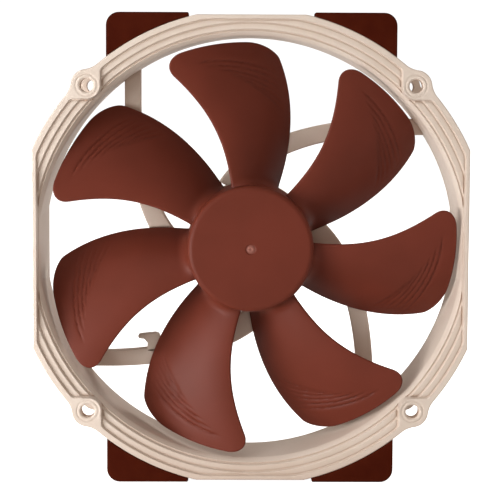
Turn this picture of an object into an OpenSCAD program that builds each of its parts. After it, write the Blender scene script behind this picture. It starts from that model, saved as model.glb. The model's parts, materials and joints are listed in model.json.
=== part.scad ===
// Axial case fan, 140 mm size, with a round frame, a seven-blade impeller and a
// four-pole brushless motor. The fan stands upright: X is right, Z is up, and the
// rotor's axis is Y. The intake side, called the front, faces -Y.
// The origin is on the rotor's axis, half way through the fan's depth.
// Every module draws its piece lying down, with the front towards +Z, and
// upright() stands it up.

/* [Frame] */
// Width across the two side flats
frame_w = 140; // [139:0.5:142]
// Height across the top and bottom flats
frame_h = 150; // [148:0.5:152]
// Depth from the intake face to the exhaust face
frame_d = 25; // [24.5:0.5:27]
// Outer radius of the round rim
ring_r = 77; // [76:0.5:78]
// Radius of the duct that the blades turn in
bore_r = 68.6; // [68.4:0.1:68.8]
// Outer radius of the duct's wall
duct_r = 70.2; // [70.1:0.1:70.6]
// Thickness of the front and rear flanges
flange_t = 4; // [3.5:0.5:5]

/* [Mounting holes] */
// Distance between hole centres, across and up
hole_pitch = 105; // [105:0.5:105.5]
// Diameter of a mounting hole
hole_d = 4.3; // [4:0.1:4.5]
// Outer radius of the lug round each hole of the front flange
lug_r = 5.1; // [4.8:0.1:5.4]
// Outer radius of the lug round each hole of the rear flange
rear_lug_r = 4.2; // [4:0.1:5.4]
// Radius of the hollow between a lug and the rim
lug_fillet_r = 8; // [6:1:10]

/* [Stepped inlet] */
// Inner radius of the flat rim on the intake face
rim_inner_r = 75; // [74.5:0.1:75.5]
// Inner radius of the first step
step_mid_r = 72.7; // [72:0.1:73]
// Inner radius of the second step
step_low_r = 70.5; // [70.3:0.1:71]
// Radius where the last step turns into the duct
lip_r = 69.6; // [69.3:0.1:69.9]
// Drop of each step
step_drop = 0.8; // [0.5:0.1:0.9]
// Thickness of the rim left along each flat
flat_rim_t = 1.35; // [1.2:0.05:1.8]

/* [Pads] */
// Distance between the outer edges of a left and a right pad
pad_span = 92.6; // [90:0.2:96]
// How far a pad stands out past the top or bottom flat
pad_proud = 0.7; // [0.3:0.1:1]
// Thickness of a pad, front to back
pad_t = 4.5; // [4:0.5:5.5]
// Radius of a pad's outer corner
pad_corner_r = 4.2; // [3:0.2:6]
// Thickness of the frame's ear inside a pad
ear_t = 2; // [1.6:0.2:2.4]

/* [Struts and motor mount] */
// Radius of the motor mount
mount_r = 21; // [20.8:0.1:22]
// Width of a strut where it meets the duct
strut_w = 5.5; // [4.5:0.1:6.5]
// Depth of the struts, front to back
strut_d = 3.4; // [3:0.2:3.6]

/* [Hub and blades] */
// Number of blades
blade_count = 7; // [5:1:7]
// Radius of the blade tips
tip_r = 66.9; // [66:0.1:67.6]
// Radius of the hub at its front edge
hub_r = 20.4; // [20.2:0.1:21]
// Radius of the hub at its rear edge
skirt_r = 20.9; // [20.8:0.1:21.4]
// Greatest thickness of a blade at the hub
blade_root_t = 2.6; // [2:0.1:3]
// Greatest thickness of a blade at the tip
blade_tip_t = 1.5; // [1.2:0.1:2]
// Camber: how much steeper a blade gets from its front edge to its rear edge
camber = 0.35; // [0:0.05:0.5]

/* [Bearing] */
// Diameter of the shaft
shaft_d = 3; // [2.8:0.1:3.2]
// Radial running clearance of the shaft in its bearing
shaft_gap = 0.03; // [0.01:0.01:0.08]
// Outer radius of the bearing tube moulded on the motor mount
tube_r = 4.6; // [4.6:0.05:4.8]

/* [Motor] */
// Outer radius of the steel yoke
yoke_r = 19; // [18.8:0.1:19]
// Radial thickness of the magnet ring
magnet_t = 1.45; // [1.2:0.05:1.6]
// Outer radius of the stator's pole shoes
stator_r = 16.2; // [15.8:0.1:16.3]
// Height of the stack of laminations
stack_h = 6.5; // [5:0.5:7]
// Number of poles on the stator
poles = 4; // [4:1:4]

/* [Hidden] */

$fn = 96;
cut = 0.1;        // how far a cutting shape runs past the face it cuts
gap = 0.05;       // clearance between pieces that are pushed or slid together

front_z = frame_d / 2;
rear_z = -frame_d / 2;
hole_centre_r = hole_pitch / sqrt(2);

beige = "#d8c6b2";
brown = "#6b2f27";
dark_brown = "#4a1a12";

// Places through the depth of the fan
mount_floor_z = rear_z + 1.6;             // front of the motor mount's floor
mount_rim_z = rear_z + 3.5;               // front of the motor mount's rim
board_z = mount_floor_z + 0.6;            // rear face of the circuit board
board_t = 1;
board_front_z = board_z + board_t;
strut_front_z = rear_z + strut_d;
hub_front_z = front_z - 1.2;
hub_rear_z = rear_z + 4.8;
hub_wall_t = 1.15;
hub_inner_z = hub_front_z - hub_wall_t;
tube_wall = 0.7;
press = 0.02;                             // how far two pressed pieces stay apart
shell_r = tube_r - tube_wall - press;
shell_bore_r = 3;
shell_top_z = 5.6;
seal_t = 0.6;
seat_z = mount_floor_z + 0.5;             // inside floor of the bearing shell
bearing_magnet_t = 0.7;
thrust_t = 0.6;
thrust_top_z = seat_z + bearing_magnet_t + thrust_t;
shaft_end_z = thrust_top_z + gap;
clip_t = 0.4;
clip_z = shaft_end_z + 0.5;
sleeve_z = clip_z + clip_t + 0.25;
stack_z = -3;
stack_front_z = stack_z + stack_h;
insulator_t = 0.7;
coil_depth = 2.4;
tooth_w = 4.4;
stator_hub_r = 7;
shoe_r = 14.8;                            // inner radius of the pole shoes
coil_in_r = 7.9;
coil_out_r = 13.3;
pin_at_r = 7.1;
lead_at = 234;                            // direction in which the lead leaves
label_r = 18.6;
magnet_r = yoke_r - 0.8 - gap;
bush_r = 3.4;
bush_rear_z = 6.9;
rim_r = mount_r - 1.5;
board_r = rim_r - 0.6;

module upright() {
    rotate([90, 0, 0]) children();
}

module tube(r, bore, z0, z1) {
    translate([0, 0, z0]) difference() {
        cylinder(r = r, h = z1 - z0);
        translate([0, 0, -cut]) cylinder(r = bore, h = z1 - z0 + 2 * cut);
    }
}

module slab(z0, z1) {
    translate([0, 0, z0]) linear_extrude(height = z1 - z0) children();
}

module rounded_rect(w, h, r) {
    square([w - 2 * r, h], center = true);
    square([w, h - 2 * r], center = true);
    for (sx = [-1, 1], sy = [-1, 1])
        translate([sx * (w / 2 - r), sy * (h / 2 - r)]) circle(r, $fn = 24);
}

module at_holes() {
    for (i = [0 : 3])
        rotate(45 + 90 * i) translate([hole_centre_r, 0]) children();
}

// ---- Frame ----

// A lug on the +X axis, with the hollows that blend it into the round rim
module lug_2d(r) {
    far = ring_r + lug_fillet_r;
    reach = r + lug_fillet_r;
    a = acos((far * far + hole_centre_r * hole_centre_r - reach * reach)
        / (2 * far * hole_centre_r));
    translate([hole_centre_r, 0]) circle(r);
    for (s = [-1, 1]) difference() {
        polygon([
            [hole_centre_r, 0],
            far * [cos(a), s * sin(a)],
            (ring_r - 4) * [cos(a), s * sin(a)]
        ]);
        translate(far * [cos(a), s * sin(a)]) circle(lug_fillet_r + gap);
    }
}

module flange_2d(lug) {
    intersection() {
        union() {
            circle(ring_r, $fn = 240);
            for (i = [0 : 3]) rotate(45 + 90 * i) lug_2d(lug);
        }
        square([frame_w, frame_h], center = true);
    }
}

// Level ground round each hole: a square corner, rounded on its inner side
module lug_ground_2d() {
    r = lug_r - 0.6;
    for (i = [0 : 3]) rotate(90 * i) translate([hole_pitch / 2, hole_pitch / 2]) {
        circle(r);
        translate([-r, 0]) square(4 * r);
        translate([0, -r]) square(4 * r);
    }
}

// What is cut away for one step of the inlet, clear of the lugs and the rim
module step_2d(r) {
    difference() {
        intersection() {
            circle(r, $fn = 240);
            square([open_w, open_h], center = true);
        }
        lug_ground_2d();
    }
}

// Rectangle in the upper right corner with its outer corner rounded
module corner_2d(x0, x1, y0, y1, r) {
    difference() {
        translate([x0, y0]) square([x1 - x0, y1 - y0]);
        translate([x1 - r, y1 - r]) difference() {
            square(r + 1);
            circle(r, $fn = 48);
        }
    }
}

module ear_2d(grow = 0) {
    half = pad_span / 2 - 1.1;
    corner_2d(22 - grow, half + grow, 64 - grow, frame_h / 2 - 0.4 + grow,
        pad_corner_r - 1 + grow);
}

ear_z = front_z - 1.25 - ear_t;

module ears() {
    for (sx = [0, 1], sy = [0, 1], sz = [0, 1])
        mirror([sx, 0, 0]) mirror([0, sy, 0]) mirror([0, 0, sz])
            slab(ear_z, ear_z + ear_t) ear_2d();
}

// Width and height left open between the rims along the flats
open_w = frame_w - 2 * flat_rim_t;
open_h = frame_h - 2 * flat_rim_t;

// The duct, with a chamfer at each end that the flats' rims cut short
module duct_bore() {
    lip_z = front_z - 3 * step_drop;
    intersection() {
        rotate_extrude($fn = 240) polygon([
            [0, rear_z - cut],
            [bore_r + 0.5, rear_z - cut],
            [bore_r + 0.5, rear_z],
            [bore_r, rear_z + 0.8],
            [bore_r, lip_z - 2],
            [lip_r, lip_z],
            [lip_r, front_z + cut],
            [0, front_z + cut]
        ]);
        cube([open_w, open_h, frame_d + 4 * cut], center = true);
    }
}

module frame_shell() {
    difference() {
        union() {
            intersection() {
                cylinder(r = duct_r, h = frame_d, center = true, $fn = 240);
                cube([frame_w, frame_h, frame_d], center = true);
            }
            slab(front_z - flange_t, front_z) flange_2d(lug_r);
            slab(rear_z, rear_z + flange_t) flange_2d(rear_lug_r);
            ears();
        }
        duct_bore();
        slab(front_z - step_drop, front_z + cut) step_2d(rim_inner_r);
        slab(front_z - 2 * step_drop, front_z + cut) step_2d(step_mid_r);
        slab(front_z - 3 * step_drop, front_z + cut) step_2d(step_low_r);
        at_holes() cylinder(d = hole_d, h = frame_d + 2 * cut, center = true);
    }
}

// One strut runs straight in from the duct and then hooks round to the motor mount
strut_start = [-39.2, 58.6];
strut_bend = [-39.2, 46];
strut_aim = [-38.8, 24];      // the hook's two control points
strut_corner = [-33, 1];
strut_root = [-18.5, -6];
strut_steps = 18;

function hook(t) = pow(1 - t, 3) * strut_bend + 3 * pow(1 - t, 2) * t * strut_aim
    + 3 * (1 - t) * t * t * strut_corner + pow(t, 3) * strut_root;
function hook_dir(t) = pow(1 - t, 2) * (strut_aim - strut_bend)
    + 2 * (1 - t) * t * (strut_corner - strut_aim) + t * t * (strut_root - strut_corner);
function side_of(d) = [-d.y, d.x] / norm(d);
function hook_half_w(t) = strut_w / 2 + 0.6 * t + 1.5 * pow(t, 4);

module strut_2d() {
    straight = side_of(strut_bend - strut_start) * strut_w / 2;
    ts = [for (i = [0 : strut_steps]) i / strut_steps];
    left = [for (t = ts) hook(t) + side_of(hook_dir(t)) * hook_half_w(t)];
    right = [for (t = ts) hook(t) - side_of(hook_dir(t)) * hook_half_w(t)];
    polygon(concat(
        [strut_start + straight],
        left,
        [for (i = [strut_steps : -1 : 0]) right[i]],
        [strut_start - straight]
    ));
}

// Finger on the lower left strut that the fan's lead is tucked under
module cable_finger_2d() {
    polygon([
        [-34.6, -37], [-34.4, -33.9], [-35.6, -32.6], [-37.3, -32.4], [-37.6, -31.4],
        [-36.6, -30.9], [-31.6, -30.4], [-30.2, -31.4], [-30, -37]
    ]);
}

module motor_mount() {
    difference() {
        union() {
            slab(rear_z, mount_rim_z) circle(mount_r);
            for (i = [0 : 3]) rotate(90 * i) slab(rear_z, strut_front_z) strut_2d();
        }
        slab(mount_floor_z, mount_rim_z + cut) circle(rim_r);
        slab(rear_z - cut, rear_z + 0.3) circle(label_r + 0.4);
        rotate(lead_at) translate([rim_r - 2, -2.5, mount_floor_z])
            cube([6, 5, 4]);
    }
    tube(tube_r, tube_r - tube_wall, mount_floor_z - cut, shell_top_z - 1.1);
    for (a = [30, 150, 270])
        rotate(a) translate([18.2, 0, mount_floor_z - cut])
            cylinder(r = 1.2, h = board_z - mount_floor_z + cut, $fn = 24);
}

module frame() {
    color(beige) upright() {
        frame_shell();
        motor_mount();
        slab(rear_z + 0.4, strut_front_z) cable_finger_2d();
    }
}

// ---- Silicone pads, one sleeve over each ear ----

module pad(sx, sy, sz) {
    color(dark_brown) upright()
        scale([sx, sy, sz]) pad_solid();
}

module pad_solid() {
    difference() {
        slab(front_z - pad_t, front_z) difference() {
            corner_2d(20, pad_span / 2, 60, frame_h / 2 + pad_proud, pad_corner_r);
            circle(ring_r + gap, $fn = 240);
        }
        slab(ear_z - gap, ear_z + ear_t + gap) ear_2d(gap);
    }
}

// ---- Blank label in the recess on the back of the motor mount ----

module rear_label() {
    color("#e6ded2") upright()
        slab(rear_z + 0.1, rear_z + 0.3) circle(label_r);
}

// ---- Bearing ----

module bearing_shell() {
    color("#b8954a") upright() difference() {
        translate([0, 0, mount_floor_z])
            cylinder(r = shell_r, h = shell_top_z - mount_floor_z);
        translate([0, 0, seat_z])
            cylinder(r = shell_bore_r, h = shell_top_z - seat_z + cut);
    }
}

module bearing_sleeve() {
    color("#8a6a3c") upright()
        tube(shell_bore_r - press, shaft_d / 2 + shaft_gap, sleeve_z, shell_top_z - seal_t);
}

module bearing_magnet() {
    color("#8d9096") upright() translate([0, 0, seat_z])
        cylinder(r = shell_bore_r - 0.1, h = bearing_magnet_t);
}

module thrust_pad() {
    color("#e8e4da") upright() translate([0, 0, seat_z + bearing_magnet_t])
        cylinder(r = shell_bore_r - 0.1, h = thrust_t);
}

module oil_seal() {
    color("#f1efe9") upright()
        tube(shell_bore_r - press, shaft_d / 2 + 0.15, shell_top_z - seal_t, shell_top_z);
}

// ---- Stator ----

module pole_shoe_2d() {
    half = 39;
    difference() {
        intersection() {
            circle(stator_r);
            polygon([
                [0, 0],
                30 * [cos(half), -sin(half)],
                [30, 0],
                30 * [cos(half), sin(half)]
            ]);
        }
        circle(shoe_r);
    }
}

module stator_core() {
    color("#777b80") upright() slab(stack_z, stack_front_z) difference() {
        union() {
            circle(stator_hub_r);
            for (i = [0 : poles - 1]) rotate(i * 360 / poles) {
                translate([5, -tooth_w / 2]) square([shoe_r - 4.6, tooth_w]);
                pole_shoe_2d();
            }
        }
        circle(tube_r + press);
    }
}

// One half of the plastic bobbin, drawn on the front of the stack: a collar round the
// bearing tube, a sleeve over each tooth, and a straight wall at each coil's outer end
module insulator_half(face) {
    collar_r = coil_in_r - gap;
    top = face + insulator_t + coil_depth + 0.2;
    sleeve_w = tooth_w + 0.8;
    wall_x = coil_out_r + gap;
    wall_t = 0.6;
    difference() {
        union() {
            slab(face, top) circle(collar_r);
            for (i = [0 : poles - 1]) rotate(i * 360 / poles) {
                slab(gap, face + insulator_t) translate([collar_r - 0.5, -sleeve_w / 2])
                    square([wall_x + wall_t - collar_r + 0.5, sleeve_w]);
                slab(face, top) translate([wall_x, -sleeve_w / 2]) square([wall_t, sleeve_w]);
            }
        }
        slab(-cut, face) union() {
            circle(collar_r);
            for (i = [0 : poles - 1]) rotate(i * 360 / poles)
                translate([0, -tooth_w / 2 - press])
                    square([stator_r, tooth_w + 2 * press]);
        }
        slab(-cut, top + cut) circle(stator_hub_r - 0.6);
    }
}

stack_mid_z = stack_z + stack_h / 2;

module insulator_front() {
    color("#2a2a2c") upright() translate([0, 0, stack_mid_z])
        insulator_half(stack_h / 2);
}

module insulator_rear() {
    color("#2a2a2c") upright() translate([0, 0, stack_mid_z]) mirror([0, 0, 1])
        insulator_half(stack_h / 2);
}

module coil(i) {
    in_w = tooth_w + 0.8 + 2 * gap;
    in_h = stack_h + 2 * insulator_t + 2 * gap;
    color("#b5642d") upright() rotate(i * 360 / poles)
        translate([coil_in_r, 0, stack_mid_z]) rotate([90, 0, 90])
            linear_extrude(height = coil_out_r - coil_in_r) difference() {
                rounded_rect(in_w + 2 * coil_depth, in_h + 2 * coil_depth, 1.8);
                square([in_w, in_h], center = true);
            }
}

// ---- Circuit board and what is soldered to it ----

module circuit_board() {
    color("#1f4a33") upright() slab(board_z, board_front_z) difference() {
        circle(board_r);
        circle(tube_r + 0.2);
        for (a = [45 : 90 : 315]) rotate(a) translate([pin_at_r, 0]) circle(0.45, $fn = 16);
    }
}

// A chip on the board: body and two rows of legs
module chip(w, d, h, legs, pitch) {
    translate([-w / 2, -d / 2, 0.15]) cube([w, d, h]);
    for (s = [-1, 1], i = [0 : legs - 1])
        translate([(i - (legs - 1) / 2) * pitch - 0.2, s > 0 ? d / 2 - 0.2 : -d / 2 - 0.7, 0])
            cube([0.4, 0.9, 0.3]);
}

module driver_chip() {
    color("#1c1c1e") upright() rotate(118) translate([16.2, 0, board_front_z])
        rotate(90) chip(4.9, 3.2, 1.3, 4, 1.27);
}

module hall_sensor() {
    color("#232326") upright() rotate(0) translate([17.4, 0, board_front_z])
        rotate(90) chip(2.9, 1.4, 1.1, 2, 1.9);
}

module capacitors() {
    color("#9c7a52") upright() for (a = [62, 200, 300]) rotate(a)
        translate([17.3, 0, board_front_z]) translate([-0.7, -1.3, 0])
            cube([1.4, 2.6, 1.1]);
}

module resistors() {
    color("#202024") upright() for (a = [76, 90, 150, 165, 214, 315]) rotate(a)
        translate([17.6, 0, board_front_z]) translate([-0.45, -0.9, 0])
            cube([0.9, 1.8, 0.45]);
}

// Four pins that carry the ends of the windings from the rear bobbin to the board
module winding_pins() {
    pin_top_z = stack_z - insulator_t - coil_depth - 0.2;
    color("#c9c9c4") upright() for (a = [45 : 90 : 315]) rotate(a)
        translate([pin_at_r, 0, board_z - 0.5])
            cylinder(r = 0.35, h = pin_top_z - board_z + 0.5, $fn = 16);
}

module lead_pads() {
    color("#d0cec4") upright() for (i = [-1.5 : 1 : 1.5])
        rotate(lead_at + i * 8) translate([17.7, 0, board_front_z])
            cylinder(r1 = 0.9, r2 = 0.5, h = 0.5, $fn = 24);
}

// ---- Rotor ----

// Where a blade's edges lie: s is 0 at a radius of 45 mm and grows by 1 every 20 mm
function span_at(r) = (r - 45) / 20;
function lead_angle(r) = let (s = span_at(r)) 56.7 + 6.5 * s + 2.8 * s * s - 1.6 * s * s * s;
function trail_angle(r) = let (s = span_at(r)) 21.3 + 8.4 * s + 1.2 * s * s + 0.25 * s * s * s;
function lead_z(r) = front_z - 3.4 + 2 * span_at(r);
function trail_z(r) = front_z - 19 + 0.75 * span_at(r);

lead_corner = [6.5, 8.2];     // how far a corner is rounded down, and along the tip
trail_corner = [4.8, 8.6];
blade_foot_r = 19.7;
rows = 9;
columns = 12;

// Tip radius along the chord, rounded down at both corners; c is 0 to 1
function corner_drop(corner, d) = let (away = max(0, 1 - d / corner[1]))
    corner[0] * (1 - sqrt(1 - away * away));
function tip_at(c) = let (chord = tip_r * (lead_angle(tip_r) - trail_angle(tip_r)) * PI / 180)
    tip_r - corner_drop(lead_corner, c * chord) - corner_drop(trail_corner, (1 - c) * chord);

function blade_slope(r, c) = (trail_z(r) - lead_z(r)) * (1 - camber + 2 * camber * c)
    / (r * (lead_angle(r) - trail_angle(r)) * PI / 180);
function blade_half_t(r, c) =
    let (most = blade_root_t + (blade_tip_t - blade_root_t) * (r - hub_r) / (tip_r - hub_r))
    most * (0.2 + 0.3 * sin(180 * pow(c, 0.8)));

// Point on the front (face = 1) or rear (face = -1) surface of a blade
function blade_point(i, c, face) =
    let (
        r = blade_foot_r + (tip_at(c) - blade_foot_r) * i / rows,
        a = lead_angle(r) + (trail_angle(r) - lead_angle(r)) * c,
        z = lead_z(r) + (trail_z(r) - lead_z(r)) * c * (1 - camber + camber * c),
        m = blade_slope(r, c),
        t = blade_half_t(r, c) * face,
        along = t * m / sqrt(1 + m * m),
        up = t / sqrt(1 + m * m),
        turned = a + (along / r) * 180 / PI
    )
    [r * cos(turned), r * sin(turned), z + up];

function at(i, j, face) = (face > 0 ? 0 : (rows + 1) * (columns + 1)) + i * (columns + 1) + j;
function quad_faces(a, b, c, d) = [[a, c, b], [a, d, c]];

module blade() {
    points = [
        for (face = [1, -1], i = [0 : rows], j = [0 : columns])
            blade_point(i, (1 - cos(180 * j / columns)) / 2, face)
    ];
    skins = [
        for (i = [0 : rows - 1], j = [0 : columns - 1])
            each concat(
                quad_faces(at(i, j, 1), at(i, j + 1, 1), at(i + 1, j + 1, 1), at(i + 1, j, 1)),
                quad_faces(at(i, j, -1), at(i + 1, j, -1), at(i + 1, j + 1, -1), at(i, j + 1, -1))
            )
    ];
    ends = [
        for (j = [0 : columns - 1])
            each concat(
                quad_faces(at(0, j, 1), at(0, j, -1), at(0, j + 1, -1), at(0, j + 1, 1)),
                quad_faces(at(rows, j, 1), at(rows, j + 1, 1), at(rows, j + 1, -1), at(rows, j, -1))
            )
    ];
    edges = [
        for (i = [0 : rows - 1])
            each concat(
                quad_faces(at(i, 0, 1), at(i + 1, 0, 1), at(i + 1, 0, -1), at(i, 0, -1)),
                quad_faces(at(i, columns, 1), at(i, columns, -1),
                    at(i + 1, columns, -1), at(i + 1, columns, 1))
            )
    ];
    polyhedron(points = points, faces = concat(skins, ends, edges));
}

module hub() {
    edge_r = 1.8;
    inner_r = yoke_r + gap;
    rotate_extrude() polygon(concat(
        [[0, hub_inner_z], [0, hub_front_z]],
        [for (a = [90 : -18 : 0])
            [hub_r - edge_r + edge_r * cos(a), hub_front_z - edge_r + edge_r * sin(a)]],
        [
            [skirt_r, hub_rear_z + 0.3],
            [skirt_r - 0.3, hub_rear_z],
            [inner_r, hub_rear_z],
            [inner_r, hub_inner_z]
        ]
    ));
    tube(bush_r + 1.5, bush_r + 0.02, bush_rear_z, hub_inner_z + cut);
}

module impeller() {
    color(brown) upright() {
        hub();
        for (i = [0 : blade_count - 1]) rotate(i * 360 / blade_count) blade();
    }
}

module rotor_yoke() {
    plate_t = 0.6;
    color("#a6a9ad") upright() difference() {
        translate([0, 0, hub_rear_z + 2]) cylinder(r = yoke_r, h = hub_inner_z - hub_rear_z - 2);
        translate([0, 0, hub_rear_z + 2 - cut])
            cylinder(r = yoke_r - 0.8, h = hub_inner_z - plate_t - hub_rear_z - 2 + cut);
        cylinder(r = bush_r + 1.5 + gap, h = front_z);
    }
}

module magnet_ring() {
    color("#3c3a38") upright()
        tube(magnet_r, magnet_r - magnet_t, hub_rear_z + 2.5, hub_rear_z + 14.5);
}

module shaft_bush() {
    color("#c9a24f") upright()
        tube(bush_r, shaft_d / 2 + 0.01, bush_rear_z, hub_inner_z);
}

module shaft() {
    groove_r = shaft_d / 2 - 0.3;
    tip = 0.5;
    color("#c4c8cc") upright() rotate_extrude() polygon([
        [0, shaft_end_z],
        [shaft_d / 2 - tip, shaft_end_z],
        [shaft_d / 2, shaft_end_z + tip - 0.1],
        [shaft_d / 2, clip_z - gap],
        [groove_r, clip_z - gap],
        [groove_r, clip_z + clip_t + gap],
        [shaft_d / 2, clip_z + clip_t + gap],
        [shaft_d / 2, hub_inner_z],
        [0, hub_inner_z]
    ]);
}

// Split ring in the shaft's groove, under the sleeve, that stops the rotor pulling out
module retaining_clip() {
    color("#e9e6dc") upright() difference() {
        tube(2.3, shaft_d / 2 - 0.28, clip_z, clip_z + clip_t);
        translate([0, -0.35, clip_z - cut]) cube([3, 0.7, clip_t + 2 * cut]);
    }
}

frame();
pad(-1, 1, 1);  // pad_front_top_left
pad(1, 1, 1);  // pad_front_top_right
pad(-1, -1, 1);  // pad_front_bottom_left
pad(1, -1, 1);  // pad_front_bottom_right
pad(-1, 1, -1);  // pad_rear_top_left
pad(1, 1, -1);  // pad_rear_top_right
pad(-1, -1, -1);  // pad_rear_bottom_left
pad(1, -1, -1);  // pad_rear_bottom_right
rear_label();
bearing_shell();
bearing_sleeve();
bearing_magnet();
thrust_pad();
oil_seal();
stator_core();
insulator_front();
insulator_rear();
coil(0);  // coil_1
coil(1);  // coil_2
coil(2);  // coil_3
coil(3);  // coil_4
circuit_board();
driver_chip();
hall_sensor();
capacitors();
resistors();
winding_pins();
lead_pads();
impeller();
rotor_yoke();
magnet_ring();
shaft_bush();
shaft();
retaining_clip();
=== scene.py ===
"""Axial case fan, 140 mm size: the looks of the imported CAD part, its light and its camera.

Shapes are drawn in millimetres lying down, with z towards the intake side, as in the CAD
source; stand() turns them upright into the row frame, where that side faces -Y.
"""

import json
import math

import bmesh
import bpy
import numpy as np
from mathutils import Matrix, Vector


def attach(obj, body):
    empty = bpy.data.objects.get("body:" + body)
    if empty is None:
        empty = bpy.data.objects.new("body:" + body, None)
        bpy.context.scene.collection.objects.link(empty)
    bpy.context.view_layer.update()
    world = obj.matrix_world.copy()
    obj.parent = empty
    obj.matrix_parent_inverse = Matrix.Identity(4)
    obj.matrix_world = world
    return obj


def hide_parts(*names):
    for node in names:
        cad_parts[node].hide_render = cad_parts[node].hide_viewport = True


MM = 0.001

# Sizes of the real object, in millimetres, as in the CAD source
FRONT_Z = 12.5
FRAME_W, FRAME_H = 140.0, 150.0
RING_R = 77.0
BORE_R = 68.6
FLAT_BORE_R, FLAT_BORE_DRAFT = 67.75, 0.018
DUCT_R = 70.2
FLANGE_T = 4.0
HOLE_R = 2.15
HOLE_CENTRE_R = 105.0 / math.sqrt(2)
LUG_R, REAR_LUG_R = 5.1, 4.2
LUG_FILLET_R = 8.0
STEP_RADII = (75.0, 72.7, 70.5)
LIP_R = 69.6
STEP_DROP = 0.8
GROUND_CLEAR = 0.6
FLAT_RIM_T, FLAT_LIP_T = 1.35, 1.75
EDGE_R = 0.4
PAD_SPAN, PAD_PROUD, PAD_T, PAD_CORNER_R = 92.6, 0.7, 4.5, 4.2
PAD_INNER_X = 20.0
EAR_T, EAR_X, EAR_R = 2.0, 22.0, 76.2
EAR_Z = FRONT_Z - 1.25 - EAR_T
MOUNT_R = 21.0
LABEL_R = 18.6
STRUT_W, STRUT_T, STRUT_SUNK = 5.5, 3.4, 0.12
TIP_R = 66.9
HUB_R, SKIRT_R, HUB_FRONT_Z, HUB_REAR_Z = 20.4, 20.9, 11.3, -7.7
BLADE_COUNT = 7
BLADE_FOOT_R = 19.7
BLADE_ROOT_T, BLADE_TIP_T, BLADE_EDGE_R, CAMBER = 2.6, 1.5, 0.45, 0.5
ROOT_FILLET_R = 3.4
# How far each end of a blade's edge falls off, and how far the blade's tip corners
# are cut back: (depth, width)
LEAD_DROP, TRAIL_DROP = (0.5, 8.0), (1.3, 10.0)
LEAD_CORNER, TRAIL_CORNER = (6.5, 8.2), (4.8, 8.6)
GROOVE_COUNT = 6


# ---- Mesh helpers ----


def stand(points):
    p = np.asarray(points, float).reshape(-1, 3)
    return np.stack([p[:, 0], -p[:, 2], p[:, 1]], 1) * MM


def grid_faces(n, m, wrap_n=False, wrap_m=False):
    i = np.arange(n if wrap_n else n - 1)[:, None]
    j = np.arange(m if wrap_m else m - 1)[None, :]
    i2, j2 = (i + 1) % n, (j + 1) % m
    return np.stack([i * m + j, i2 * m + j, i2 * m + j2, i * m + j2], -1).reshape(-1, 4)


def build(name, parts, material, sharp=40):
    """One closed mesh object from several (points in mm, faces) parts."""
    points, faces, base = [], [], 0
    for part_points, part_faces in parts:
        upright = stand(part_points)
        points.append(upright)
        faces.extend([[int(k) + base for k in face] for face in part_faces])
        base += len(upright)
    mesh = bpy.data.meshes.new(name)
    mesh.from_pydata(np.concatenate(points).tolist(), [], faces)
    bm = bmesh.new()
    bm.from_mesh(mesh)
    bmesh.ops.remove_doubles(bm, verts=bm.verts, dist=0.002 * MM)
    bmesh.ops.recalc_face_normals(bm, faces=bm.faces)
    bm.to_mesh(mesh)
    bm.free()
    mesh.materials.append(material)
    obj = bpy.data.objects.new(name, mesh)
    bpy.context.scene.collection.objects.link(obj)
    shade(obj, sharp)
    return obj


def shade(obj, sharp):
    mesh = obj.data
    mesh.polygons.foreach_set("use_smooth", np.ones(len(mesh.polygons), bool))
    mesh.set_sharp_from_angle(angle=math.radians(sharp))
    mesh.update()


def lathe(profile, steps=192):
    """A closed (radius, z) profile turned about the rotor's axis."""
    profile = np.array(profile, float)
    angle = np.linspace(0, 2 * math.pi, steps, endpoint=False)[:, None]
    r, z = profile[None, :, 0], profile[None, :, 1]
    points = np.stack([r * np.cos(angle), r * np.sin(angle), z + 0 * angle], -1)
    return points, grid_faces(steps, len(profile), True, False)


def arc(cx, cy, r, a0, a1, n):
    a = np.radians(np.linspace(a0, a1, n))
    return [(cx + r * math.cos(t), cy + r * math.sin(t)) for t in a]


def plate(outline, z0, z1, edge=0.0, edge_steps=3):
    """An outline, counter-clockwise, extruded from z0 to z1 with rounded edges."""
    p = np.array(outline, float)
    ahead = np.roll(p, -1, 0) - p
    ahead /= np.linalg.norm(ahead, axis=1)[:, None]
    behind = np.roll(ahead, 1, 0)
    mean = ahead + behind
    mean /= np.linalg.norm(mean, axis=1)[:, None]
    inward = np.stack([-mean[:, 1], mean[:, 0]], 1)
    stretch = 1 / np.clip((mean * ahead).sum(1), 0.5, 1)
    rings = []
    if edge > 0:
        turn = np.radians(np.linspace(0, 90, edge_steps + 1))
        low = [(edge * (1 - math.sin(t)), z0 + edge * (1 - math.cos(t))) for t in turn]
        high = [(inset, z0 + z1 - z) for inset, z in reversed(low)]
        rings = low + high
    else:
        rings = [(0, z0), (0, z1)]
    points, n = [], len(p)
    for inset, z in rings:
        moved = p + inward * (inset * stretch)[:, None]
        points.append(np.column_stack([moved, np.full(n, z)]))
    faces = grid_faces(len(rings), n, False, True).tolist()
    faces.append(list(range(n)))
    faces.append([(len(rings) - 1) * n + k for k in range(n)])
    return np.concatenate(points), faces


def moved(part, fn):
    points, faces = part
    return fn(np.asarray(points, float).reshape(-1, 3)), faces


def turned(part, degrees):
    a = math.radians(degrees)
    c, s = math.cos(a), math.sin(a)
    return moved(part, lambda p: p @ np.array([[c, s, 0], [-s, c, 0], [0, 0, 1]]))


def carve(obj, cutter_parts):
    """Cuts closed shapes out of an object."""
    cutter = build("cutter", cutter_parts, obj.data.materials[0])
    step = obj.modifiers.new("cut", "BOOLEAN")
    step.operation = "DIFFERENCE"
    step.solver = "EXACT"
    step.object = cutter
    bpy.context.view_layer.objects.active = obj
    bpy.ops.object.modifier_apply(modifier=step.name)
    bpy.data.objects.remove(cutter)


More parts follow.
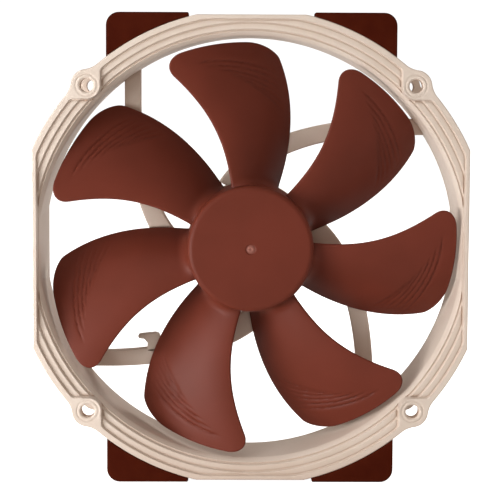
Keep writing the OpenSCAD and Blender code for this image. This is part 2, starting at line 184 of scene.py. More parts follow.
def joined(name, objects, sharp=40):
    bpy.ops.object.select_all(action="DESELECT")
    for o in objects:
        o.select_set(True)
    bpy.context.view_layer.objects.active = objects[0]
    bpy.ops.object.join()
    objects[0].name = name
    objects[0].data.name = name
    shade(objects[0], sharp)
    return objects[0]


def ease(x, width):
    """A smooth rise from 0 to 1 over that width, with its middle at x = 0."""
    t = np.clip(x / width + 0.5, 0, 1)
    return t * t * (3 - 2 * t)


def soft_min(a, b, k):
    """The smaller of two distances, blended over k where they meet."""
    h = np.clip(0.5 + 0.5 * (b - a) / k, 0, 1)
    return b * (1 - h) + a * h - k * h * (1 - h)


# ---- Materials ----


def srgb(r, g, b):
    out = []
    for v in (r, g, b):
        v /= 255
        out.append(v / 12.92 if v <= 0.04045 else ((v + 0.055) / 1.055) ** 2.4)
    return (*out, 1)


class Tree:
    """A material's nodes, with coordinates in millimetres."""

    def __init__(self, name):
        self.material = bpy.data.materials.new(name)
        self.material.use_nodes = True
        self.nodes = self.material.node_tree.nodes
        self.links = self.material.node_tree.links
        self.shader = self.nodes["Principled BSDF"]
        coords = self.nodes.new("ShaderNodeTexCoord")
        scale = self.nodes.new("ShaderNodeMapping")
        scale.inputs["Scale"].default_value = (1000, 1000, 1000)
        self.links.new(coords.outputs["Object"], scale.inputs["Vector"])
        self.mm = scale.outputs["Vector"]

    def put(self, socket, value):
        if isinstance(value, bpy.types.NodeSocket):
            self.links.new(value, socket)
        elif value is not None:
            socket.default_value = value

    def noise(self, size, detail=3, rough=0.55, stretch=None, distort=0.0):
        """Noise with features of about that size in mm."""
        node = self.nodes.new("ShaderNodeTexNoise")
        node.inputs["Scale"].default_value = 1 / size
        node.inputs["Detail"].default_value = detail
        node.inputs["Roughness"].default_value = rough
        node.inputs["Distortion"].default_value = distort
        where = self.mm
        if stretch:
            squeeze = self.nodes.new("ShaderNodeMapping")
            squeeze.inputs["Scale"].default_value = [1 / s for s in stretch]
            self.links.new(self.mm, squeeze.inputs["Vector"])
            where = squeeze.outputs["Vector"]
        self.links.new(where, node.inputs["Vector"])
        return node.outputs["Fac"]

    def axis_distance(self):
        """Distance from the rotor's axis in mm."""
        flat = self.nodes.new("ShaderNodeVectorMath")
        flat.operation = "MULTIPLY"
        self.links.new(self.mm, flat.inputs[0])
        flat.inputs[1].default_value = (1, 0, 1)
        length = self.nodes.new("ShaderNodeVectorMath")
        length.operation = "LENGTH"
        self.links.new(flat.outputs["Vector"], length.inputs[0])
        return length.outputs["Value"]

    def cells(self, size):
        node = self.nodes.new("ShaderNodeTexVoronoi")
        node.inputs["Scale"].default_value = 1 / size
        self.links.new(self.mm, node.inputs["Vector"])
        return node.outputs["Distance"]

    def bands(self, period, axis="Y", kind="BANDS", distort=0.0):
        """Stripes that repeat every period mm."""
        node = self.nodes.new("ShaderNodeTexWave")
        node.wave_type = kind
        if kind == "BANDS":
            node.bands_direction = axis
        else:
            node.rings_direction = axis
        node.inputs["Scale"].default_value = 2 * math.pi / (20 * period)
        node.inputs["Distortion"].default_value = distort
        node.inputs["Detail"].default_value = 1
        self.links.new(self.mm, node.inputs["Vector"])
        return node.outputs["Fac"]

    def span(self, value, low, high, to_low=0.0, to_high=1.0):
        node = self.nodes.new("ShaderNodeMapRange")
        node.interpolation_type = "SMOOTHSTEP"
        self.put(node.inputs["Value"], value)
        node.inputs["From Min"].default_value = low
        node.inputs["From Max"].default_value = high
        node.inputs["To Min"].default_value = to_low
        node.inputs["To Max"].default_value = to_high
        return node.outputs["Result"]

    def math(self, kind, a, b=None):
        node = self.nodes.new("ShaderNodeMath")
        node.operation = kind
        self.put(node.inputs[0], a)
        self.put(node.inputs[1], b)
        return node.outputs["Value"]

    def blend(self, share, a, b, kind="MIX"):
        node = self.nodes.new("ShaderNodeMix")
        node.data_type = "RGBA"
        node.blend_type = kind
        self.put(node.inputs["Factor"], share)
        self.put(node.inputs["A"], a)
        self.put(node.inputs["B"], b)
        return node.outputs["Result"]

    def bump(self, height, depth, strength=1.0, after=None):
        """Relief of that depth in mm."""
        node = self.nodes.new("ShaderNodeBump")
        node.inputs["Strength"].default_value = strength
        node.inputs["Distance"].default_value = depth * MM
        self.put(node.inputs["Height"], height)
        if after is not None:
            self.links.new(after, node.inputs["Normal"])
        return node.outputs["Normal"]

    def painted_shade_mask(self, radius):
        """Mask for painted shade: 0 on open faces, up to 1 where walls stand closer than radius
        mm; the colour it darkens stands in for shade in creases and corners.
        """
        node = self.nodes.new("ShaderNodeAmbientOcclusion")
        node.samples = 8
        node.inputs["Distance"].default_value = radius * MM
        return self.math("SUBTRACT", 1.0, node.outputs["AO"])

    def done(self, colour, rough, metal=0.0, normal=None, specular=0.5, **more):
        self.put(self.shader.inputs["Base Color"], colour)
        self.put(self.shader.inputs["Roughness"], rough)
        self.put(self.shader.inputs["Metallic"], metal)
        self.put(self.shader.inputs["Specular IOR Level"], specular)
        if normal is not None:
            self.links.new(normal, self.shader.inputs["Normal"])
        for key, value in more.items():
            self.put(self.shader.inputs[key.replace("_", " ")], value)
        return self.material


def simple(name, light, dark, rough, metal=0.0, patch=3.0, grain=0.3, depth=0.01, **more):
    """Two close shades in soft patches, with a fine grain in the gloss and relief."""
    t = Tree(name)
    tone = t.span(t.noise(patch), 0.35, 0.65)
    fine = t.noise(grain, 4)
    colour = t.blend(tone, srgb(*dark), srgb(*light))
    gloss = t.span(fine, 0.3, 0.7, rough - 0.07, rough + 0.07)
    return t.done(colour, gloss, metal, t.bump(fine, depth), **more)


def beige_plastic():
    t = Tree("beige_plastic")
    tone = t.span(t.noise(14, 2), 0.3, 0.7)
    colour = t.blend(tone, srgb(216, 201, 188), srgb(220, 206, 194))
    # Painted shade: the colour darkens in creases and corners, where walls stand close
    crease_shade = t.painted_shade_mask(1.6)
    colour = t.blend(t.math("MULTIPLY", crease_shade, 0.75), colour, srgb(148, 120, 98))
    # Painted shade and painted bounce light: deep inside the duct the colour turns darker and
    # warmer, standing in for shade and for light thrown back from the brown blades
    duct_shade_and_bounce = t.painted_shade_mask(22)
    colour = t.blend(t.math("MULTIPLY", duct_shade_and_bounce, 0.45), colour, srgb(168, 124, 92))
    spark = t.noise(0.16, 4, 0.7)
    sweep = t.noise(5.0, 2)
    gloss = t.span(spark, 0.3, 0.7, 0.40, 0.56)
    relief = t.bump(spark, 0.018, 0.8)
    relief = t.bump(sweep, 0.02, 0.4, relief)
    return t.done(colour, gloss, 0, relief, 0.3)


def brown_plastic():
    t = Tree("brown_plastic")
    tone = t.span(t.noise(20, 2), 0.3, 0.7)
    colour = t.blend(tone, srgb(101, 43, 29), srgb(107, 46, 32))
    speck = t.span(t.noise(0.22, 4, 0.8), 0.55, 0.8, 0, 0.25)
    colour = t.blend(speck, colour, srgb(128, 68, 56))
    # Pale scuffed spot of the gate mark, on the rotor's axis
    scuff = t.span(t.axis_distance(), 0.9, 1.7, 0.4, 0)
    colour = t.blend(scuff, colour, srgb(186, 132, 120))
    # Painted shade: the colour darkens in creases and at the blade roots, where walls stand close
    crease_shade = t.painted_shade_mask(2.0)
    colour = t.blend(t.math("MULTIPLY", crease_shade, 0.6), colour, srgb(54, 17, 12))
    spark = t.noise(0.2, 4, 0.7)
    gloss = t.span(spark, 0.3, 0.7, 0.42, 0.58)
    relief = t.bump(spark, 0.03, 0.8)
    return t.done(colour, gloss, 0, relief, 0.18)


def silicone():
    t = Tree("brown_silicone")
    tone = t.span(t.noise(6, 3), 0.3, 0.7)
    colour = t.blend(tone, srgb(64, 19, 8), srgb(70, 23, 10))
    dust = t.span(t.noise(0.5, 5, 0.8), 0.6, 0.85, 0, 0.1)
    colour = t.blend(dust, colour, srgb(98, 50, 36))
    fine = t.noise(0.3, 4)
    gloss = t.span(fine, 0.3, 0.7, 0.6, 0.78)
    return t.done(colour, gloss, 0, t.bump(fine, 0.02), 0.02)


def copper_wire():
    t = Tree("copper_wire")
    turns = t.bands(0.36, "Y", "RINGS", 0.4)
    tone = t.noise(1.2)
    colour = t.blend(tone, srgb(150, 72, 34), srgb(196, 112, 62))
    colour = t.blend(t.span(turns, 0.0, 0.35, 0.7, 0), colour, srgb(60, 24, 10))
    return t.done(colour, 0.32, 0.9, t.bump(turns, 0.14))


def lamination_steel():
    t = Tree("lamination_steel")
    sheets = t.bands(0.5, "Y")
    colour = t.blend(t.noise(2.0), srgb(112, 116, 121), srgb(148, 151, 155))
    colour = t.blend(t.span(sheets, 0.0, 0.2, 0.8, 0), colour, srgb(48, 46, 44))
    rust = t.span(t.noise(0.7, 4), 0.62, 0.75, 0, 0.4)
    colour = t.blend(rust, colour, srgb(104, 74, 52))
    return t.done(colour, 0.42, 0.85, t.bump(sheets, 0.06))


def board_laminate():
    t = Tree("board_laminate")
    colour = t.blend(t.noise(2.5), srgb(18, 66, 42), srgb(27, 84, 54))
    tracks = t.math("LESS_THAN", t.cells(2.2), 0.34)
    colour = t.blend(t.math("MULTIPLY", tracks, 0.55), colour, srgb(58, 120, 78))
    weave = t.bands(0.5, "X", distort=0.3)
    relief = t.math("ADD", tracks, t.math("MULTIPLY", weave, 0.2))
    return t.done(colour, 0.28, 0, t.bump(relief, 0.03))


def label_paper():
    t = Tree("label_paper")
    fibre = t.noise(0.25, 5, 0.7, (4, 1, 1))
    colour = t.blend(fibre, srgb(222, 212, 196), srgb(238, 231, 219))
    colour = t.blend(t.span(t.noise(6), 0.5, 0.75, 0, 0.25), colour, srgb(205, 190, 168))
    return t.done(colour, t.span(fibre, 0.3, 0.7, 0.5, 0.68), 0, t.bump(fibre, 0.015))


def sintered_bronze():
    t = Tree("sintered_bronze")
    pores = t.cells(0.18)
    colour = t.blend(t.noise(1.0), srgb(122, 92, 50), srgb(158, 122, 70))
    colour = t.blend(t.span(pores, 0.0, 0.25, 0.7, 0), colour, srgb(58, 40, 20))
    return t.done(colour, 0.45, 0.8, t.bump(pores, 0.04))


def turned_metal(name, light, dark, rough):
    """Fine lathe lines round the rotor's axis, with a few duller stains."""
    t = Tree(name)
    lines = t.noise(0.12, 3, 0.6, (6, 0.6, 6))
    colour = t.blend(lines, srgb(*dark), srgb(*light))
    stain = t.span(t.noise(2.5, 4), 0.55, 0.8, 0, 0.3)
    colour = t.blend(stain, colour, srgb(*[int(v * 0.7) for v in dark]))
    gloss = t.span(lines, 0.3, 0.7, rough - 0.08, rough + 0.1)
    return t.done(colour, gloss, 1, t.bump(lines, 0.012))


def all_materials():
    return {
        "beige_plastic": beige_plastic(),
        "brown_plastic": brown_plastic(),
        "brown_silicone": silicone(),
        "label_paper": label_paper(),
        "brass": turned_metal("brass", (206, 172, 98), (170, 134, 66), 0.3),
        "sintered_bronze": sintered_bronze(),
        "nickel_magnet": turned_metal("nickel_magnet", (186, 188, 192), (150, 152, 158), 0.25),
        "white_polymer": simple("white_polymer", (236, 232, 222), (222, 216, 202), 0.45),
        "lamination_steel": lamination_steel(),
        "black_plastic": simple("black_plastic", (44, 44, 47), (30, 30, 33), 0.42),
        "copper_wire": copper_wire(),
        "board_laminate": board_laminate(),
        "chip_epoxy": simple("chip_epoxy", (34, 34, 37), (22, 22, 24), 0.55, grain=0.08),
        "capacitor_ceramic": simple(
            "capacitor_ceramic", (172, 138, 98), (148, 112, 76), 0.4, patch=0.8
        ),
        "resistor_ceramic": simple(
            "resistor_ceramic", (40, 40, 48), (24, 24, 30), 0.35, patch=0.6
        ),
        "tinned_metal": turned_metal("tinned_metal", (206, 206, 200), (168, 168, 160), 0.28),
        "yoke_steel": turned_metal("yoke_steel", (178, 180, 184), (140, 142, 147), 0.35),
        "bonded_ferrite": simple(
            "bonded_ferrite", (66, 62, 60), (44, 42, 41), 0.6, grain=0.15, depth=0.03
        ),
        "ground_steel": turned_metal("ground_steel", (202, 205, 209), (160, 164, 170), 0.16),
    }


# ---- Frame ----


def outline_radius(angle, lug_r):
    """Outer radius of a flange: the round rim, a lug at each hole, the four flats."""
    r = np.full_like(angle, RING_R)
    off = np.abs(angle % (math.pi / 2) - math.pi / 4)
    far = RING_R + LUG_FILLET_R
    reach = lug_r + LUG_FILLET_R
    touch = math.acos((far**2 + HOLE_CENTRE_R**2 - reach**2) / (2 * far * HOLE_CENTRE_R))
    fx, fy = far * math.cos(touch), far * math.sin(touch)
    tx = HOLE_CENTRE_R + (fx - HOLE_CENTRE_R) * lug_r / reach
    ty = fy * lug_r / reach
    turn = math.atan2(ty, tx)
    lug = HOLE_CENTRE_R * np.cos(off) + np.sqrt(
        np.maximum(lug_r**2 - (HOLE_CENTRE_R * np.sin(off)) ** 2, 0)
    )
    hollow = far * np.cos(touch - off) - np.sqrt(
        np.maximum(LUG_FILLET_R**2 - (far * np.sin(touch - off)) ** 2, 0)
    )
    r = np.where(off < touch, hollow, r)
    r = np.where(off < turn, lug, r)
    r = np.minimum(r, FRAME_W / 2 / np.maximum(np.abs(np.cos(angle)), 1e-6))
    return np.minimum(r, FRAME_H / 2 / np.maximum(np.abs(np.sin(angle)), 1e-6))


def hole_distance(x, y):
    """Distance from the nearest mounting hole's centre."""
    at = HOLE_CENTRE_R / math.sqrt(2)
    return np.hypot(np.abs(x) - at, np.abs(y) - at)


def ground_distance(x, y):
    """Distance in from the square corner of level ground that each lug stands on."""
    at = HOLE_CENTRE_R / math.sqrt(2)
    dx, dy = np.maximum(at - np.abs(x), 0), np.maximum(at - np.abs(y), 0)
    return np.hypot(dx, dy)


def inlet_height(r, angle):
    """Height of the intake face: three steps down to the duct, level lugs and flats."""
    x, y = r * np.cos(angle), r * np.sin(angle)
    hole = hole_distance(x, y)
    flat = np.minimum(FRAME_W / 2 - np.abs(x), FRAME_H / 2 - np.abs(y)) - FLAT_RIM_T
    z = np.full_like(r, FRONT_Z)
    for step_r in STEP_RADII:
        inside = soft_min(step_r - r, ground_distance(x, y) - (LUG_R - GROUND_CLEAR), 0.8)
        inside = soft_min(inside, flat, 0.5)
        z -= STEP_DROP * ease(inside, 0.34)
        # Fine groove at the foot of each riser
        z -= 0.13 * np.exp(-(((inside - 0.3) / 0.16) ** 2))
    # Ring round each hole and the hole's own chamfer
    z -= 0.2 * np.exp(-(((hole - 3.45) / 0.22) ** 2))
    z -= np.clip(HOLE_R + 0.45 - hole, 0, 0.6)
    return z


def frame_ring():
    steps, rows = 1440, 44
    angle = np.linspace(0, 2 * math.pi, steps, endpoint=False)
    outer = outline_radius(angle, LUG_R)
    rear_outer = outline_radius(angle, REAR_LUG_R)
    cos = np.abs(np.cos(angle))
    profile = []

    def bore(z):
        """The bore's radius: the thin wall at the left and right flats is flat inside too."""
        return np.minimum(BORE_R, (FLAT_BORE_R + FLAT_BORE_DRAFT * z) / np.maximum(cos, 1e-6))

    lip = np.minimum(LIP_R, (FRAME_W / 2 - FLAT_LIP_T) / np.maximum(cos, 1e-6))
    lip = np.maximum(lip, bore(8.0) + 0.03)

    def add(r, z):
        profile.append((r + 0 * angle, z + 0 * angle))

    back = bore(-FRONT_Z)
    add(back + 0.5, -FRONT_Z)
    add(back + 0.44, -FRONT_Z + 0.06)
    add(back + 0.04, -FRONT_Z + 0.74)
    for z in np.linspace(-FRONT_Z + 0.85, 8.0, 10):
        add(bore(z), z)
    lip_z = inlet_height(lip, angle)
    add(bore(8.25) + 0.02, 8.25)
    add(bore(8.25) + (lip - bore(8.25)) * 0.9, 8.1 + (lip_z - 8.1) * 0.8)
    add(lip, lip_z - 0.25)
    add(lip + 0.06, lip_z - 0.08)
    for u in np.linspace(0, 1, rows):
        r = lip + 0.16 + (outer - EDGE_R - lip - 0.16) * u
        add(r, inlet_height(r, angle))
    for t in np.radians([25, 50, 75, 90]):
        drop = EDGE_R * (1 - math.cos(t))
        r = outer - EDGE_R * (1 - math.sin(t))
        add(r, inlet_height(outer - EDGE_R, angle) - drop)
    under = FRONT_Z - FLANGE_T
    for s, rim in ((1, outer), (-1, rear_outer)):
        web = np.minimum(DUCT_R, rim - 0.02)
        small = np.minimum(0.3, (rim - web) * 0.4)
        hollow = np.minimum(0.8, (rim - small - web) * 0.6)
        ring = [
            (rim, under + small),
            (rim - small * 0.3, under + small * 0.3),
            (rim - small, under),
            (web + hollow, under),
            (web + hollow * 0.3, under - hollow * 0.3),
            (web, under - hollow),
        ]
        for r, z in ring if s > 0 else reversed(ring):
            add(r, s * z)
    for t in np.radians([90, 65, 40, 15, 0]):
        add(rear_outer - EDGE_R * (1 - math.sin(t)), -FRONT_Z + EDGE_R * (1 - math.cos(t)))
    for u in np.linspace(0, 1, 7)[1:-1]:
        add(rear_outer - EDGE_R + (back + 0.5 - rear_outer + EDGE_R) * u, -FRONT_Z)
    r = np.stack([p[0] for p in profile], 1)
    z = np.stack([p[1] for p in profile], 1)
    points = np.stack([r * np.cos(angle)[:, None], r * np.sin(angle)[:, None], z], -1)
    return points, grid_faces(steps, len(profile), True, True)


def hole_cutters():
    """A bore for each pair of lugs, and its chamfer on the rear face."""
    parts, n = [], 48
    rim = HOLE_R + 0.5
    for k in range(4):
        a = math.radians(45 + 90 * k)
        cx, cy = HOLE_CENTRE_R * math.cos(a), HOLE_CENTRE_R * math.sin(a)
        parts.append(plate(arc(cx, cy, HOLE_R, 0, 360 - 360 / n, n), -14, 14))
        points, faces = plate(arc(cx, cy, rim, 0, 360 - 360 / n, n), -14, -FRONT_Z + 0.45)
        taper = HOLE_R / rim * 0.98
        points[n:] = (points[n:] - [cx, cy, 0]) * [taper, taper, 1] + [cx, cy, 0]
        parts.append((points, faces))
    return parts


def strut():
    """A bar in from the duct, straight at first, that hooks round to the motor mount."""
    start, bend = np.array([-39.2, 58.6]), np.array([-39.2, 46.0])
    aim, corner, root = np.array([-38.8, 24.0]), np.array([-33.0, 1.0]), np.array([-18.5, -6.0])
    line, side, half = [], [], []
    # Control points: a straight piece from start to bend, then a cubic curve
    for u in np.linspace(0, 0.95, 6):
        line.append(start + (bend - start) * u)
        side.append(bend - start)
        half.append(STRUT_W / 2)
    for t in np.linspace(0, 1, 44):
        b = 1 - t
        line.append(b**3 * bend + 3 * b * b * t * aim + 3 * b * t * t * corner + t**3 * root)
        side.append(b * b * (aim - bend) + 2 * b * t * (corner - aim) + t * t * (root - corner))
        half.append(STRUT_W / 2 + 0.6 * t + 1.5 * t**4)
    low, high, edge = -FRONT_Z + STRUT_SUNK, -FRONT_Z + STRUT_T, 0.7
    rings = []
    for p, d, w in zip(line, side, half):
        d = d / np.linalg.norm(d)
        across = np.array([-d[1], d[0]])
        section = (
            arc(w - edge, high - edge, edge, 0, 90, 5)
            + arc(-w + edge, high - edge, edge, 90, 180, 5)
            + arc(-w + 0.3, low + 0.3, 0.3, 180, 270, 3)
            + arc(w - 0.3, low + 0.3, 0.3, 270, 360, 3)
        )
        rings.append([(*(p + across * s), z) for s, z in section])
    n = len(rings[0])
    faces = grid_faces(len(rings), n, False, True).tolist()
    faces.append(list(range(n)))
    faces.append([(len(rings) - 1) * n + k for k in range(n)])
    return np.array(rings), faces


def motor_mount(material):
    """The cup that holds the motor, with the lead's notch and three posts for the board."""
    floor, rim = -FRONT_Z + 1.6, -FRONT_Z + 3.5
    recess = LABEL_R + 0.4
    profile = [
        (0, -FRONT_Z + 0.3), (recess - 0.05, -FRONT_Z + 0.3), (recess, -FRONT_Z + 0.25),
        (recess, -FRONT_Z + 0.05), (recess + 0.05, -FRONT_Z), (MOUNT_R - 0.5, -FRONT_Z),
        (MOUNT_R - 0.15, -FRONT_Z + 0.15), (MOUNT_R, -FRONT_Z + 0.5), (MOUNT_R, rim - 0.4),
        (MOUNT_R - 0.12, rim - 0.12), (MOUNT_R - 0.4, rim), (MOUNT_R - 1.3, rim),
        (MOUNT_R - 1.5, rim - 0.2), (MOUNT_R - 1.5, floor), (5.4, floor), (4.8, floor + 0.2),
        (4.6, floor + 0.8), (4.6, 4.3), (4.5, 4.5), (4.0, 4.5), (3.9, 4.3), (3.9, floor),
        (0, floor),
    ]
    body = build("mount", [lathe(profile)], material)
    box = plate([(17.5, -2.5), (23.5, -2.5), (23.5, 2.5), (17.5, 2.5)], floor, floor + 4)
    carve(body, [turned(box, 234)])
    posts = []
    for a in (30, 150, 270):
        posts.append(turned(plate(arc(18.2, 0, 1.2, 0, 345, 24), floor - 0.1, floor + 0.6), a))
    return [body, build("posts", posts, material)]


def corner_shape(x0, x1, y1, r, inner_r):
    """Outline of a plate in the upper right corner, hollowed by the round rim."""
    thin_end = arc(x0 + 0.5, y1 - 0.5, 0.5, 180, 90, 5)
    corner = arc(x1 - r, y1 - r, r, 90, 0, 9)
    hollow = [(x, math.sqrt(inner_r**2 - x * x)) for x in np.linspace(x1, x0, 24)]
    return (thin_end + corner + hollow)[::-1]


def all_corners(part):
    """The part mirrored into the four corners of the front and of the rear flange."""
    for sx in (1, -1):
        for sy in (1, -1):
            for sz in (1, -1):
                yield (sx, sy, sz), moved(part, lambda p: p * [sx, sy, sz])


def make_frame(material):
    ring = build("ring", [frame_ring()], material, 38)
    carve(ring, hole_cutters())
    parts = [turned(strut(), 90 * k) for k in range(4)]
    # The finger on the lower left strut that the lead hooks under
    finger = [
        (-30, -37), (-30.2, -31.4), (-30.6, -30.75), (-31.6, -30.4), (-36.6, -30.9),
        (-37.4, -31.2), (-37.6, -31.7), (-37.3, -32.4), (-36.4, -32.55), (-35.6, -32.6),
        (-34.4, -33.9), (-34.6, -37),
    ]
    parts.append(plate(finger, -FRONT_Z + 0.4, -FRONT_Z + STRUT_T, 0.35))
    # Ears of the flanges, which the pads are pushed over
    outline = corner_shape(EAR_X, PAD_SPAN / 2 - 1.1, FRAME_H / 2 - 0.4, 3.2, EAR_R)
    ear = plate(outline, EAR_Z, EAR_Z + EAR_T, 0.2)
    parts += [piece for _, piece in all_corners(ear)]
    pieces = [ring, build("bars", parts, material)] + motor_mount(material)
    return joined("frame_shell", pieces, 38)


def make_pads(material):
    top = FRAME_H / 2 + PAD_PROUD
    outline = corner_shape(PAD_INNER_X, PAD_SPAN / 2, top, PAD_CORNER_R, RING_R + 0.05)
    solid = plate(outline, FRONT_Z - PAD_T, FRONT_Z, 0.45, 4)
    made = []
    for (sx, sy, sz), piece in all_corners(solid):
        face = "front" if sz > 0 else "rear"
        row = "top" if sy > 0 else "bottom"
        name = "pad_%s_%s_%s" % (face, row, "right" if sx > 0 else "left")
        made.append((name, build(name + "_skin", [piece], material, 50)))
    return made


# ---- Impeller ----


def span_at(r):
    """Where a radius lies on a blade: -1 at 25 mm, 0 at 45 mm, 1 at 65 mm."""
    return (r - 45) / 20


def lead_angle(r):
    """Where the leading edge lies round the axis at a radius, in degrees."""
    s = span_at(r)
    return 56.7 + 6.5 * s + 2.8 * s**2 - 1.6 * s**3


def trail_angle(r):
    """Where the trailing edge lies round the axis at a radius, in degrees."""
    s = span_at(r)
    return 21.3 + 8.4 * s + 1.2 * s**2 + 0.25 * s**3


def corner_drop(corner, d):
    """How far a rounded tip corner falls short of the tip's circle, d mm along it."""
    away = np.clip(1 - d / corner[1], 0, 1)
    return corner[0] * (1 - np.sqrt(1 - away**2))


def tip_radius(c):
    """The blade's outer end at c, which is 0 at the leading edge and 1 at the trailing."""
    chord = TIP_R * math.radians(lead_angle(TIP_R) - trail_angle(TIP_R))
    return TIP_R - corner_drop(LEAD_CORNER, c * chord) - corner_drop(TRAIL_CORNER, (1 - c) * chord)


def groove_depth(r, c):
    """Curved flow channels on the outer part of a blade's front face."""
    depth = np.zeros_like(r)
    for k in range(GROOVE_COUNT):
        t = k / (GROOVE_COUNT - 1)
        start_c, end_c = 0.22 + 0.36 * t, 0.95 - 0.05 * t
        start_r, end_r = 62.2 - 8.8 * t, 56.8 - 11.2 * t
        u = (c - start_c) / (end_c - start_c)
        line = start_r + (end_r - start_r) * u + (3.6 - 3.0 * t) * u * (1 - u)
        across = (r - line) * 0.95
        along = np.clip(u / 0.15, 0, 1) * np.clip((1 - u) / 0.25, 0, 1)
        notch = np.exp(-((across / 0.28) ** 2))
        slope = np.where(across > 0, np.exp(-((across / 1.2) ** 2)), 0)
        depth += along * (0.34 * notch + 0.16 * slope)
    return depth


def hub_surface(z):
    """Radius of the hub's tapered wall."""
    return np.interp(z, [HUB_REAR_Z, HUB_FRONT_Z], [SKIRT_R, HUB_R])


def fillet(d, r):
    """Thickness that a root fillet of radius r adds, d mm away from the wall."""
    d = np.clip(d, 0, r)
    return r - np.sqrt(np.maximum(r * r - (r - d) ** 2, 0))


def blade():
    """One blade: rows of points from its foot to its tip, each row once round a section."""
    columns = 64
    u = np.concatenate([np.linspace(0, 0.4, 34), np.linspace(0.4, 0.985, 80)[1:]])
    u = np.concatenate([u, 0.985 + 0.015 * np.sin(np.radians(np.linspace(0, 90, 8)))[1:]])
    j = np.linspace(0, math.pi, columns)
    c = (1 - np.cos(j)) / 2
    c = np.concatenate([c, c[::-1][1:-1]])
    face = np.concatenate([np.ones(columns), -np.ones(columns - 2)])
    c, face = c[None, :], face[None, :]
    tip = tip_radius(c)
    r = BLADE_FOOT_R + (tip - BLADE_FOOT_R) * u[:, None]
    lead, trail = lead_angle(r), trail_angle(r)
    lead_z = FRONT_Z - 3.4 + 2 * span_at(r)
    trail_z = FRONT_Z - 19 + 0.75 * span_at(r)
    z = lead_z + (trail_z - lead_z) * c * (1 - CAMBER + CAMBER * c)
    chord = r * np.radians(lead - trail)
    for (drop, width), inward in ((TRAIL_DROP, 1 - c), (LEAD_DROP, c)):
        z = z - drop * np.clip(1 - inward * chord / width, 0, 1) ** 2
    root = fillet(r - hub_surface(z), ROOT_FILLET_R)
    spread = np.degrees(root * 0.05 / r)
    a = lead + spread + (trail - lead - 2 * spread) * c
    slope = (trail_z - lead_z) * (1 - CAMBER + 2 * CAMBER * c) / (r * np.radians(lead - trail))
    most = BLADE_ROOT_T + (BLADE_TIP_T - BLADE_ROOT_T) * (r - HUB_R) / (TIP_R - HUB_R)
    half = most * (0.2 + 0.3 * np.sin(math.pi * c**0.8))
    edge = np.minimum(c, 1 - c) * chord
    side = np.clip(edge / BLADE_EDGE_R, 0, 1)
    rounding = np.sqrt(np.clip(1 - (1 - side) ** 2, 0, 1))
    end = np.clip((tip - r) / BLADE_EDGE_R, 0, 1)
    rounding = rounding * np.sqrt(np.clip(1 - (1 - end) ** 2, 0, 1))
    t = (half + root * ease(edge - 2.5, 6.0)) * rounding * face
    t = t - np.where(face > 0, groove_depth(r, c) * np.clip(edge / 2.5, 0, 1), 0)
    long = np.sqrt(1 + slope**2)
    turned_by = np.radians(a) + t * slope / long / r
    z = np.clip(z + t / long, HUB_REAR_Z + 0.1, FRONT_Z - 0.2)
    points = np.stack([r * np.cos(turned_by), r * np.sin(turned_by), z], -1)
    n, m = r.shape
    faces = grid_faces(n, m, False, True).tolist()
    faces.append(list(range(m)))
    return points, faces


def hub():
    """The hub's cup with the gate mark on its face and the seat of the shaft's bush."""
    edge = 1.8
    inner, wall = 19.05, HUB_FRONT_Z - 1.15
    outside = [
        (0, HUB_FRONT_Z - 0.2), (0.25, HUB_FRONT_Z - 0.18), (0.45, HUB_FRONT_Z - 0.05),
        (0.6, HUB_FRONT_Z - 0.02), (0.95, HUB_FRONT_Z - 0.02), (1.15, HUB_FRONT_Z - 0.16),
        (1.4, HUB_FRONT_Z - 0.2), (1.62, HUB_FRONT_Z - 0.14), (1.74, HUB_FRONT_Z - 0.03),
        (1.82, HUB_FRONT_Z), (1.9, HUB_FRONT_Z), (2.0, HUB_FRONT_Z), (8, HUB_FRONT_Z),
        (14, HUB_FRONT_Z), (HUB_R - edge - 0.4, HUB_FRONT_Z),
    ]
    outside += arc(HUB_R - edge, HUB_FRONT_Z - edge, edge, 90, 0, 12)
    outside += [(float(hub_surface(z)), z) for z in (6, 2.5, -1, -4.5, HUB_REAR_Z + 0.3)]
    outside += [
        (SKIRT_R - 0.09, HUB_REAR_Z + 0.09), (SKIRT_R - 0.3, HUB_REAR_Z),
        (inner + 0.15, HUB_REAR_Z), (inner, HUB_REAR_Z + 0.15),
        (inner, wall), (4.9, wall), (4.9, 7.0), (4.8, 6.9), (3.52, 6.9), (3.42, 7.0),
        (3.42, wall), (0, wall),
    ]
    return lathe(outside, 256)


def make_impeller(material):
    parts = [hub()]
    shape = blade()
    for k in range(BLADE_COUNT):
        parts.append(turned(shape, 360 / BLADE_COUNT * k))
    return build("impeller_skin", parts, material, 40)


# ---- Light, floor and camera ----


def area_light(name, place, aim, size, power):
    lamp = bpy.data.lights.new(name, "AREA")
    lamp.shape = "RECTANGLE"
    lamp.size, lamp.size_y = size
    lamp.energy = power
    obj = bpy.data.objects.new(name, lamp)
    obj.location = place
    obj.rotation_euler = (Vector(aim) - Vector(place)).to_track_quat("-Z", "Y").to_euler()
    bpy.context.scene.collection.objects.link(obj)
    return obj


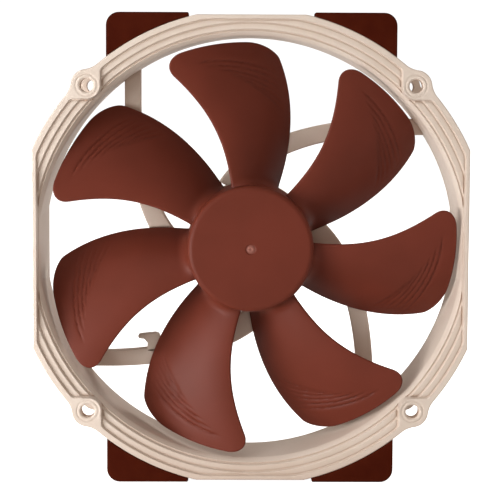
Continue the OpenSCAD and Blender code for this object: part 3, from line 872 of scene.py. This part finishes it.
def white_world(front, back):
    """A dim studio in front of the object and a lit white backdrop behind it."""
    world = bpy.data.worlds.new("studio")
    bpy.context.scene.world = world
    world.use_nodes = True
    nodes, links = world.node_tree.nodes, world.node_tree.links
    sky = nodes["Background"]
    coords = nodes.new("ShaderNodeTexCoord")
    split = nodes.new("ShaderNodeSeparateXYZ")
    links.new(coords.outputs["Generated"], split.inputs["Vector"])
    turn = nodes.new("ShaderNodeMapRange")
    turn.interpolation_type = "SMOOTHSTEP"
    turn.inputs["From Min"].default_value = -0.3
    turn.inputs["From Max"].default_value = 0.35
    turn.inputs["To Min"].default_value = front
    turn.inputs["To Max"].default_value = back
    links.new(split.outputs["Y"], turn.inputs["Value"])
    path = nodes.new("ShaderNodeLightPath")
    # The room mirrors darker than it lights: reflections come from the lamps
    mirrored = nodes.new("ShaderNodeMix")
    links.new(path.outputs["Is Glossy Ray"], mirrored.inputs["Factor"])
    links.new(turn.outputs["Result"], mirrored.inputs["A"])
    mirrored.inputs["B"].default_value = 0.15
    level = nodes.new("ShaderNodeMix")
    links.new(path.outputs["Is Camera Ray"], level.inputs["Factor"])
    links.new(mirrored.outputs["Result"], level.inputs["A"])
    level.inputs["B"].default_value = 1.1
    links.new(level.outputs["Result"], sky.inputs["Strength"])
    tint = nodes.new("ShaderNodeMix")
    tint.data_type = "RGBA"
    links.new(path.outputs["Is Camera Ray"], tint.inputs["Factor"])
    tint.inputs["A"].default_value = (1, 0.91, 0.82, 1)
    tint.inputs["B"].default_value = (1, 1, 1, 1)
    links.new(tint.outputs["Result"], sky.inputs["Color"])


def floor():
    """A plain white floor under the pads, as bright to the camera as the backdrop."""
    t = Tree("floor_white")
    mesh = bpy.data.meshes.new("floor")
    size, low = 4.0, -(FRAME_H / 2 + PAD_PROUD) * MM
    corners = [(-size, -size, low), (size, -size, low), (size, size, low), (-size, size, low)]
    mesh.from_pydata(corners, [], [(0, 1, 2, 3)])
    tone = t.blend(t.noise(60, 3), (0.86, 0.86, 0.86, 1), (0.9, 0.9, 0.9, 1))
    path = t.nodes.new("ShaderNodeLightPath")
    glow = t.nodes.new("ShaderNodeMapRange")
    glow.inputs["To Min"].default_value = 0.0
    glow.inputs["To Max"].default_value = 0.95
    t.links.new(path.outputs["Is Camera Ray"], glow.inputs["Value"])
    t.shader.inputs["Emission Color"].default_value = (1, 1, 1, 1)
    t.links.new(glow.outputs["Result"], t.shader.inputs["Emission Strength"])
    mesh.materials.append(t.done(tone, 0.9, 0, None, 0.1))
    obj = bpy.data.objects.new("floor", mesh)
    bpy.context.scene.collection.objects.link(obj)


def camera():
    data = bpy.data.cameras.new("camera")
    data.sensor_width = 36
    data.lens = 98.2
    data.shift_x, data.shift_y = 0.033, -0.102
    obj = bpy.data.objects.new("camera", data)
    obj.location = (-0.008, -0.4475, 0.046)
    obj.rotation_euler = (math.radians(90 - 3.9), math.radians(-0.2), math.radians(-0.3))
    bpy.context.scene.collection.objects.link(obj)
    bpy.context.scene.camera = obj


# ---- The scene ----

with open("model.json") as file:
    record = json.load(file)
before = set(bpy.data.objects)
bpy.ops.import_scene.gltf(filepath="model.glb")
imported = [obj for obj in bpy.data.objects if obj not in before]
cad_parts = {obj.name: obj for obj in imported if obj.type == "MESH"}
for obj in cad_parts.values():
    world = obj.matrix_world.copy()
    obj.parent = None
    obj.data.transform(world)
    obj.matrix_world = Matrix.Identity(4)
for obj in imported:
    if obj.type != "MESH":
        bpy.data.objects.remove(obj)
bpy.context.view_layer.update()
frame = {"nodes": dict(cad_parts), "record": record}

paint = all_materials()
slot_of = {part["node"]: part["material_slot"] for part in frame["record"]["subparts"]}
for node, obj in frame["nodes"].items():
    obj.data.materials.clear()
    obj.data.materials.append(paint[slot_of[node]])

shell = make_frame(paint["beige_plastic"])
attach(shell, "frame")
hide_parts("frame")

for node, pad in make_pads(paint["brown_silicone"]):
    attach(pad, "frame")
    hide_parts(node)

rotor = make_impeller(paint["brown_plastic"])
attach(rotor, "rotor")
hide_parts("impeller")

floor()
white_world(0.50, 0.42)
area_light("key", (-1.3, -0.75, 0.05), (0, 0, 0), (1.2, 1.2), 8.5)
area_light("near", (-0.35, -0.35, -0.055), (0, 0, 0), (0.2, 0.03), 0.7)
area_light("low", (-0.3, -0.15, -0.055), (0, 0, 0), (0.1, 0.03), 0.46)
area_light("top", (-0.55, -0.75, 1.18), (0, 0, 0), (1.2, 1.2), 3.3)
# Lights the duct from behind, without a mirror image in the hub's wall
area_light("back", (0.45, 0.65, 0.3), (0, 0, 0), (0.3, 0.3), 3.0).visible_glossy = False
camera()
bpy.context.scene.view_settings.view_transform = "Standard"
